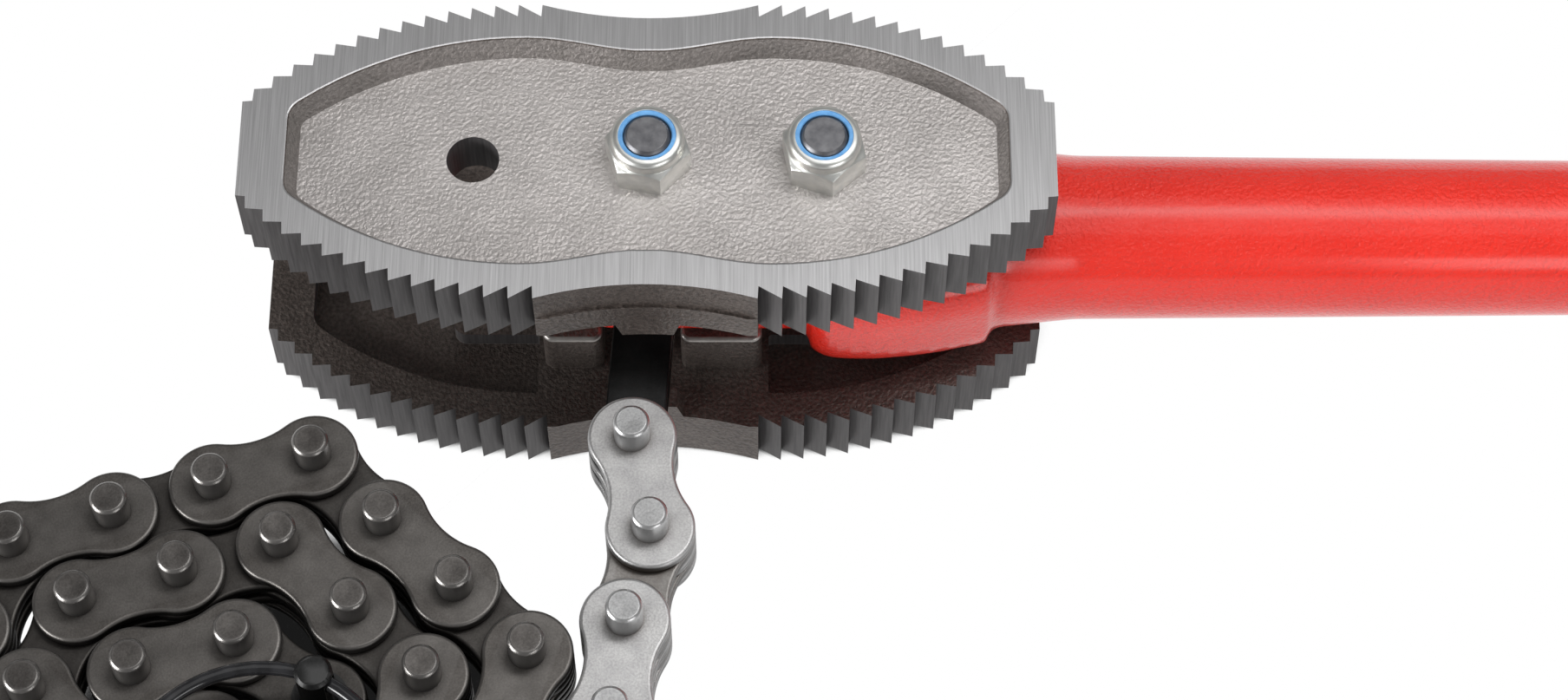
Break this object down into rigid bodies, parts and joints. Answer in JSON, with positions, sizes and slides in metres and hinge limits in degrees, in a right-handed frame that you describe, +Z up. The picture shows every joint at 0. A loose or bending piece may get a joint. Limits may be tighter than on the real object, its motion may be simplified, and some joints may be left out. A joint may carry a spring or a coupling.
{
  "type": "chain pipe wrench",
  "caption": "Heavy chain pipe wrench: toothed reversible jaw plates bolted over a forged head with a tapered handle and a laminated pin chain lying in a coil.",
  "frame": {"origin": "centre of the underside of the centre bolt head, on which the tool lies", "axes": "+X along the handle towards its free end, +Z up along the bolts, the chain leaves towards -Y"},
  "size_m": [1.1953, 0.301, 0.1133],
  "materials": {
    "jaw_steel": "forged, ground rims",
    "red_paint": "semi gloss over rough forging",
    "zinc": "zinc plated",
    "nylon": "satin",
    "black_oxide": "black oxide",
    "chain_bright": "matt bright",
    "chain_dark": "oiled dark",
    "black_lacquer": "gloss"
  },
  "bodies": {
    "frame": {"lower_jaw": "jaw_steel", "upper_jaw": "jaw_steel", "handle_head": "red_paint", "handle_bar": "red_paint", "end_cap": "red_paint", "centre_bolt": "zinc", "end_bolt": "zinc", "centre_nut": "zinc", "end_nut": "zinc", "centre_nut_ring": "nylon", "end_nut_ring": "nylon"},
    "anchor": {"anchor_link": "black_oxide"},
    "link_01_body": {"link_01": "chain_bright"},
    "link_02_body": {"link_02": "chain_bright"},
    "link_03_body": {"link_03": "chain_bright"},
    "link_04_body": {"link_04": "chain_bright"},
    "link_05_body": {"link_05": "chain_bright"},
    "link_06_body": {"link_06": "chain_dark"},
    "link_07_body": {"link_07": "chain_dark"},
    "link_08_body": {"link_08": "chain_dark"},
    "link_09_body": {"link_09": "chain_dark"},
    "link_10_body": {"link_10": "chain_dark"},
    "link_11_body": {"link_11": "chain_dark"},
    "link_12_body": {"link_12": "chain_dark"},
    "link_13_body": {"link_13": "chain_dark"},
    "link_14_body": {"link_14": "chain_dark"},
    "link_15_body": {"link_15": "chain_dark"},
    "link_16_body": {"link_16": "chain_dark"},
    "link_17_body": {"link_17": "chain_dark"},
    "link_18_body": {"link_18": "chain_dark"},
    "link_19_body": {"link_19": "chain_dark"},
    "link_20_body": {"link_20": "chain_dark"},
    "link_21_body": {"link_21": "chain_dark"},
    "link_22_body": {"link_22": "chain_dark"},
    "link_23_body": {"link_23": "chain_dark"},
    "link_24_body": {"link_24": "chain_dark"},
    "link_25_body": {"link_25": "chain_dark"},
    "link_26_body": {"link_26": "chain_dark"},
    "link_27_body": {"link_27": "chain_dark"},
    "link_28_body": {"link_28": "chain_dark"},
    "link_29_body": {"link_29": "chain_dark"},
    "link_30_body": {"link_30": "chain_dark"},
    "link_31_body": {"link_31": "chain_dark"},
    "link_32_body": {"link_32": "chain_dark"},
    "link_33_body": {"link_33": "chain_dark"},
    "link_34_body": {"link_34": "chain_dark"},
    "link_35_body": {"link_35": "chain_dark"},
    "link_36_body": {"link_36": "chain_dark"},
    "link_37_body": {"link_37": "chain_dark"},
    "link_38_body": {"link_38": "chain_dark"},
    "pull_ring": {"end_pin": "chain_dark", "end_ring": "black_lacquer"}
  },
  "joints": [
    {"name": "anchor_swing", "type": "hinge", "parent": "frame", "child": "anchor", "pos_m": [0, 0, 0.0539], "axis": [0, 0, 1], "range_deg": [-10, 10]},
    {"name": "chain_loosen", "type": "hinge", "parent": "anchor", "child": "link_01_body", "pos_m": [-0.00453, -0.07196, 0.0539], "axis": [0, 0, 1], "range_deg": [0, 10]},
    {"name": "pin_02_turn", "type": "hinge", "parent": "link_01_body", "child": "link_02_body", "pos_m": [0.00112, -0.10101, 0.0539], "axis": [0, 0, 1], "range_deg": [-3.05, 0]},
    {"name": "pin_03_turn", "type": "hinge", "parent": "link_02_body", "child": "link_03_body", "pos_m": [-0.00554, -0.12985, 0.0539], "axis": [0, 0, 1], "range_deg": [-3.05, 0]},
    {"name": "pin_04_turn", "type": "hinge", "parent": "link_03_body", "child": "link_04_body", "pos_m": [-0.00889, -0.15926, 0.0539], "axis": [0, 0, 1], "range_deg": [0, 10.05]},
    {"name": "pin_05_turn", "type": "hinge", "parent": "link_04_body", "child": "link_05_body", "pos_m": [-0.01804, -0.18742, 0.0539], "axis": [0, 0, 1], "range_deg": [0, 10.05]},
    {"name": "pin_06_turn", "type": "hinge", "parent": "link_05_body", "child": "link_06_body", "pos_m": [-0.02718, -0.21557, 0.0539], "axis": [0, 0, 1], "range_deg": [0, 10.05]},
    {"name": "pin_07_turn", "type": "hinge", "parent": "link_06_body", "child": "link_07_body", "pos_m": [-0.05577, -0.22323, 0.0539], "axis": [0, 0, 1], "range_deg": [0, 10.05]},
    {"name": "pin_08_turn", "type": "hinge", "parent": "link_07_body", "child": "link_08_body", "pos_m": [-0.08436, -0.23089, 0.0539], "axis": [0, 0, 1], "range_deg": [0, 10.05]},
    {"name": "pin_09_turn", "type": "hinge", "parent": "link_08_body", "child": "link_09_body", "pos_m": [-0.11296, -0.23855, 0.0539], "axis": [0, 0, 1], "range_deg": [0, 10.05]},
    {"name": "pin_10_turn", "type": "hinge", "parent": "link_09_body", "child": "link_10_body", "pos_m": [-0.1353, -0.21913, 0.0539], "axis": [0, 0, 1], "range_deg": [0, 10.05]},
    {"name": "pin_11_turn", "type": "hinge", "parent": "link_10_body", "child": "link_11_body", "pos_m": [-0.15763, -0.19971, 0.0539], "axis": [0, 0, 1], "range_deg": [-3.85, 0]},
    {"name": "pin_12_turn", "type": "hinge", "parent": "link_11_body", "child": "link_12_body", "pos_m": [-0.17997, -0.18029, 0.0539], "axis": [0, 0, 1], "range_deg": [-10.05, 0]},
    {"name": "pin_13_turn", "type": "hinge", "parent": "link_12_body", "child": "link_13_body", "pos_m": [-0.20231, -0.16087, 0.0539], "axis": [0, 0, 1], "range_deg": [0, 10.05]},
    {"name": "pin_14_turn", "type": "hinge", "parent": "link_13_body", "child": "link_14_body", "pos_m": [-0.19171, -0.13324, 0.0539], "axis": [0, 0, 1], "range_deg": [0, 5.35]},
    {"name": "pin_15_turn", "type": "hinge", "parent": "link_14_body", "child": "link_15_body", "pos_m": [-0.1811, -0.10561, 0.0539], "axis": [0, 0, 1], "range_deg": [0, 10.05]},
    {"name": "pin_16_turn", "type": "hinge", "parent": "link_15_body", "child": "link_16_body", "pos_m": [-0.15295, -0.09646, 0.0539], "axis": [0, 0, 1], "range_deg": [-3.05, 0]},
    {"name": "pin_17_turn", "type": "hinge", "parent": "link_16_body", "child": "link_17_body", "pos_m": [-0.1248, -0.08731, 0.0539], "axis": [0, 0, 1], "range_deg": [-7.95, 0]},
    {"name": "pin_18_turn", "type": "hinge", "parent": "link_17_body", "child": "link_18_body", "pos_m": [-0.09664, -0.07816, 0.0539], "axis": [0, 0, 1], "range_deg": [0, 10.05]},
    {"name": "pin_19_turn", "type": "hinge", "parent": "link_18_body", "child": "link_19_body", "pos_m": [-0.07535, -0.09873, 0.0539], "axis": [0, 0, 1], "range_deg": [-3.05, 0]},
    {"name": "pin_20_turn", "type": "hinge", "parent": "link_19_body", "child": "link_20_body", "pos_m": [-0.05406, -0.11929, 0.0539], "axis": [0, 0, 1], "range_deg": [-8.35, 0]},
    {"name": "pin_21_turn", "type": "hinge", "parent": "link_20_body", "child": "link_21_body", "pos_m": [-0.03277, -0.13985, 0.0539], "axis": [0, 0, 1], "range_deg": [0, 10.05]},
    {"name": "pin_22_turn", "type": "hinge", "parent": "link_21_body", "child": "link_22_body", "pos_m": [-0.04142, -0.16816, 0.0539], "axis": [0, 0, 1], "range_deg": [-4.15, 0]},
    {"name": "pin_23_turn", "type": "hinge", "parent": "link_22_body", "child": "link_23_body", "pos_m": [-0.05008, -0.19646, 0.0539], "axis": [0, 0, 1], "range_deg": [0, 10.05]},
    {"name": "pin_24_turn", "type": "hinge", "parent": "link_23_body", "child": "link_24_body", "pos_m": [-0.07867, -0.20413, 0.0539], "axis": [0, 0, 1], "range_deg": [-5.05, 0]},
    {"name": "pin_25_turn", "type": "hinge", "parent": "link_24_body", "child": "link_25_body", "pos_m": [-0.10726, -0.21179, 0.0539], "axis": [0, 0, 1], "range_deg": [0, 10.05]},
    {"name": "pin_26_turn", "type": "hinge", "parent": "link_25_body", "child": "link_26_body", "pos_m": [-0.12891, -0.1916, 0.0539], "axis": [0, 0, 1], "range_deg": [-10.05, 0]},
    {"name": "pin_27_turn", "type": "hinge", "parent": "link_26_body", "child": "link_27_body", "pos_m": [-0.15055, -0.17141, 0.0539], "axis": [0, 0, 1], "range_deg": [-10.05, 0]},
    {"name": "pin_28_turn", "type": "hinge", "parent": "link_27_body", "child": "link_28_body", "pos_m": [-0.1722, -0.15122, 0.0539], "axis": [0, 0, 1], "range_deg": [0, 9.95]},
    {"name": "pin_29_turn", "type": "hinge", "parent": "link_28_body", "child": "link_29_body", "pos_m": [-0.16064, -0.12398, 0.0539], "axis": [0, 0, 1], "range_deg": [0, 10.05]},
    {"name": "pin_30_turn", "type": "hinge", "parent": "link_29_body", "child": "link_30_body", "pos_m": [-0.13249, -0.11483, 0.0539], "axis": [0, 0, 1], "range_deg": [-10.05, 0]},
    {"name": "pin_31_turn", "type": "hinge", "parent": "link_30_body", "child": "link_31_body", "pos_m": [-0.10433, -0.10568, 0.0539], "axis": [0, 0, 1], "range_deg": [0, 9.45]},
    {"name": "pin_32_turn", "type": "hinge", "parent": "link_31_body", "child": "link_32_body", "pos_m": [-0.08304, -0.12624, 0.0539], "axis": [0, 0, 1], "range_deg": [-10.05, 0]},
    {"name": "pin_33_turn", "type": "hinge", "parent": "link_32_body", "child": "link_33_body", "pos_m": [-0.06175, -0.14681, 0.0539], "axis": [0, 0, 1], "range_deg": [0, 3.05]},
    {"name": "pin_34_turn", "type": "hinge", "parent": "link_33_body", "child": "link_34_body", "pos_m": [-0.0704, -0.17511, 0.0539], "axis": [0, 0, 1], "range_deg": [0, 7.65]},
    {"name": "pin_35_turn", "type": "hinge", "parent": "link_34_body", "child": "link_35_body", "pos_m": [-0.09871, -0.18377, 0.0539], "axis": [0, 0, 1], "range_deg": [0, 3.05]},
    {"name": "pin_36_turn", "type": "hinge", "parent": "link_35_body", "child": "link_36_body", "pos_m": [-0.12105, -0.16435, 0.0539], "axis": [0, 0, 1], "range_deg": [-10.05, 0]},
    {"name": "pin_37_turn", "type": "hinge", "parent": "link_36_body", "child": "link_37_body", "pos_m": [-0.14339, -0.14493, 0.0539], "axis": [0, 0, 1], "range_deg": [0, 4.95]},
    {"name": "pin_38_turn", "type": "hinge", "parent": "link_37_body", "child": "link_38_body", "pos_m": [-0.11508, -0.13628, 0.0539], "axis": [0, 0, 1], "range_deg": [0, 10.05]},
    {"name": "ring_swing", "type": "hinge", "parent": "link_38_body", "child": "pull_ring", "pos_m": [-0.09054, -0.15283, 0.0539], "axis": [0, 0, 1], "range_deg": [-25, 25]}
  ],
  "couplings": [
    {"joint": "pin_02_turn", "follows": "chain_loosen", "ratio": -0.3},
    {"joint": "pin_03_turn", "follows": "chain_loosen", "ratio": -0.3},
    {"joint": "pin_04_turn", "follows": "chain_loosen", "ratio": 1},
    {"joint": "pin_05_turn", "follows": "chain_loosen", "ratio": 1},
    {"joint": "pin_06_turn", "follows": "chain_loosen", "ratio": 1},
    {"joint": "pin_07_turn", "follows": "chain_loosen", "ratio": 1},
    {"joint": "pin_08_turn", "follows": "chain_loosen", "ratio": 1},
    {"joint": "pin_09_turn", "follows": "chain_loosen", "ratio": 1},
    {"joint": "pin_10_turn", "follows": "chain_loosen", "ratio": 1},
    {"joint": "pin_11_turn", "follows": "chain_loosen", "ratio": -0.38},
    {"joint": "pin_12_turn", "follows": "chain_loosen", "ratio": -1},
    {"joint": "pin_13_turn", "follows": "chain_loosen", "ratio": 1},
    {"joint": "pin_14_turn", "follows": "chain_loosen", "ratio": 0.53},
    {"joint": "pin_15_turn", "follows": "chain_loosen", "ratio": 1},
    {"joint": "pin_16_turn", "follows": "chain_loosen", "ratio": -0.3},
    {"joint": "pin_17_turn", "follows": "chain_loosen", "ratio": -0.79},
    {"joint": "pin_18_turn", "follows": "chain_loosen", "ratio": 1},
    {"joint": "pin_19_turn", "follows": "chain_loosen", "ratio": -0.3},
    {"joint": "pin_20_turn", "follows": "chain_loosen", "ratio": -0.83},
    {"joint": "pin_21_turn", "follows": "chain_loosen", "ratio": 1},
    {"joint": "pin_22_turn", "follows": "chain_loosen", "ratio": -0.41},
    {"joint": "pin_23_turn", "follows": "chain_loosen", "ratio": 1},
    {"joint": "pin_24_turn", "follows": "chain_loosen", "ratio": -0.5},
    {"joint": "pin_25_turn", "follows": "chain_loosen", "ratio": 1},
    {"joint": "pin_26_turn", "follows": "chain_loosen", "ratio": -1},
    {"joint": "pin_27_turn", "follows": "chain_loosen", "ratio": -1},
    {"joint": "pin_28_turn", "follows": "chain_loosen", "ratio": 0.99},
    {"joint": "pin_29_turn", "follows": "chain_loosen", "ratio": 1},
    {"joint": "pin_30_turn", "follows": "chain_loosen", "ratio": -1},
    {"joint": "pin_31_turn", "follows": "chain_loosen", "ratio": 0.94},
    {"joint": "pin_32_turn", "follows": "chain_loosen", "ratio": -1},
    {"joint": "pin_33_turn", "follows": "chain_loosen", "ratio": 0.3},
    {"joint": "pin_34_turn", "follows": "chain_loosen", "ratio": 0.76},
    {"joint": "pin_35_turn", "follows": "chain_loosen", "ratio": 0.3},
    {"joint": "pin_36_turn", "follows": "chain_loosen", "ratio": -1},
    {"joint": "pin_37_turn", "follows": "chain_loosen", "ratio": 0.49},
    {"joint": "pin_38_turn", "follows": "chain_loosen", "ratio": 1}
  ]
}
